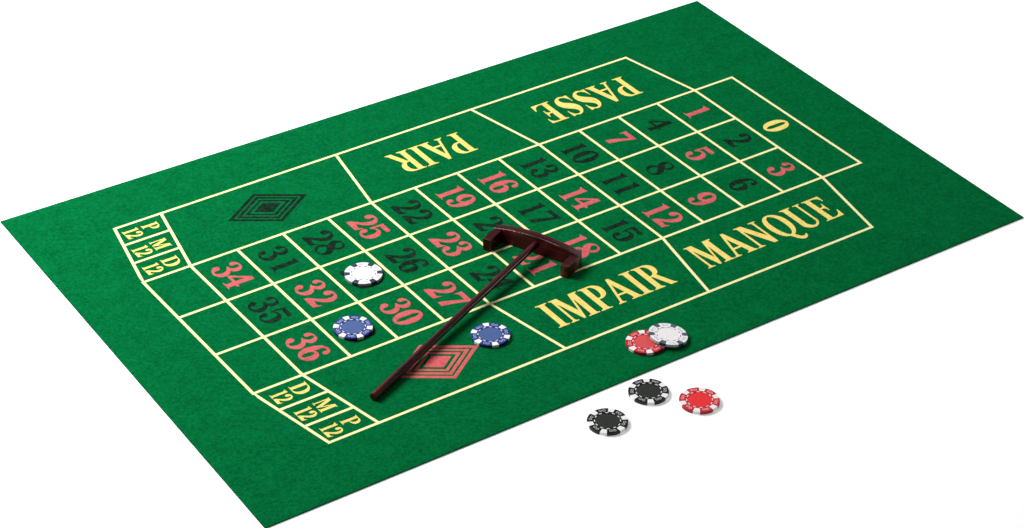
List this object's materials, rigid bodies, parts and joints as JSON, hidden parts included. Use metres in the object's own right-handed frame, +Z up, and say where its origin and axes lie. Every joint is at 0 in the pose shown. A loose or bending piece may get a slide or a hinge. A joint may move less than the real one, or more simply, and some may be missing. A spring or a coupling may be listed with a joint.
{
  "type": "roulette layout set",
  "caption": "Printed green felt roulette layout with a wooden croupier's rake and round gaming chips lying on and beside it.",
  "frame": {"origin": "middle of the printed number grid, on the underside of the felt", "axes": "+X along the number columns towards the zero box, +Y across the felt towards the PAIR and PASSE side, +Z up"},
  "size_m": [0.9438, 0.6833, 0.0222],
  "materials": {
    "felt_green": "matte napped felt",
    "ink_yellow": "matte print on felt",
    "ink_red": "matte print on felt",
    "ink_black": "matte print on felt",
    "rake_wood": "dark mahogany stain under gloss lacquer",
    "chip_white": "moulded, slightly worn",
    "chip_blue": "moulded, slightly worn",
    "chip_red": "moulded, slightly worn",
    "chip_black": "moulded, slightly worn",
    "spot_white": "moulded, slightly worn",
    "spot_navy": "moulded, slightly worn",
    "slug_steel": "plain"
  },
  "bodies": {
    "felt": {"layout_cloth": "felt_green", "print_lines": "ink_yellow", "print_lettering": "ink_yellow", "print_red_numbers": "ink_red", "print_red_lozenge": "ink_red", "print_black_numbers": "ink_black", "print_black_lozenge": "ink_black"},
    "rake": {"rake_head": "rake_wood", "rake_handle": "rake_wood"},
    "chip_white_1": {"chip_white_1_body": "chip_white", "chip_white_1_spots": "spot_navy", "chip_white_1_slug": "slug_steel"},
    "chip_white_2": {"chip_white_2_body": "chip_white", "chip_white_2_spots": "spot_navy", "chip_white_2_slug": "slug_steel"},
    "chip_blue_1": {"chip_blue_1_body": "chip_blue", "chip_blue_1_spots": "spot_white", "chip_blue_1_slug": "slug_steel"},
    "chip_blue_2": {"chip_blue_2_body": "chip_blue", "chip_blue_2_spots": "spot_white", "chip_blue_2_slug": "slug_steel"},
    "chip_red_1": {"chip_red_1_body": "chip_red", "chip_red_1_spots": "spot_white", "chip_red_1_slug": "slug_steel"},
    "chip_red_2": {"chip_red_2_body": "chip_red", "chip_red_2_spots": "spot_white", "chip_red_2_slug": "slug_steel"},
    "chip_black_1": {"chip_black_1_body": "chip_black", "chip_black_1_spots": "spot_white", "chip_black_1_slug": "slug_steel"},
    "chip_black_2": {"chip_black_2_body": "chip_black", "chip_black_2_spots": "spot_white", "chip_black_2_slug": "slug_steel"}
  },
  "joints": [
    {"name": "rake_pull", "type": "slide", "parent": "felt", "child": "rake", "axis": [-0.9102, -0.4142, 0], "range_m": [-0.1, 0.1]},
    {"name": "chip_white_1_lift", "type": "slide", "parent": "felt", "child": "chip_white_1", "axis": [0, 0, 1], "range_m": [0, 0.06]},
    {"name": "chip_white_2_lift", "type": "slide", "parent": "chip_red_1", "child": "chip_white_2", "axis": [0, 0, 1], "range_m": [0, 0.06]},
    {"name": "chip_blue_1_lift", "type": "slide", "parent": "felt", "child": "chip_blue_1", "axis": [0, 0, 1], "range_m": [0, 0.06]},
    {"name": "chip_blue_2_lift", "type": "slide", "parent": "felt", "child": "chip_blue_2", "axis": [0, 0, 1], "range_m": [0, 0.06]},
    {"name": "chip_red_1_lift", "type": "slide", "parent": "felt", "child": "chip_red_1", "axis": [0, 0, 1], "range_m": [0, 0.06]},
    {"name": "chip_red_2_lift", "type": "slide", "parent": "felt", "child": "chip_red_2", "axis": [0, 0, 1], "range_m": [0, 0.06]},
    {"name": "chip_black_1_lift", "type": "slide", "parent": "felt", "child": "chip_black_1", "axis": [0, 0, 1], "range_m": [0, 0.06]},
    {"name": "chip_black_2_lift", "type": "slide", "parent": "felt", "child": "chip_black_2", "axis": [0, 0, 1], "range_m": [0, 0.06]}
  ]
}
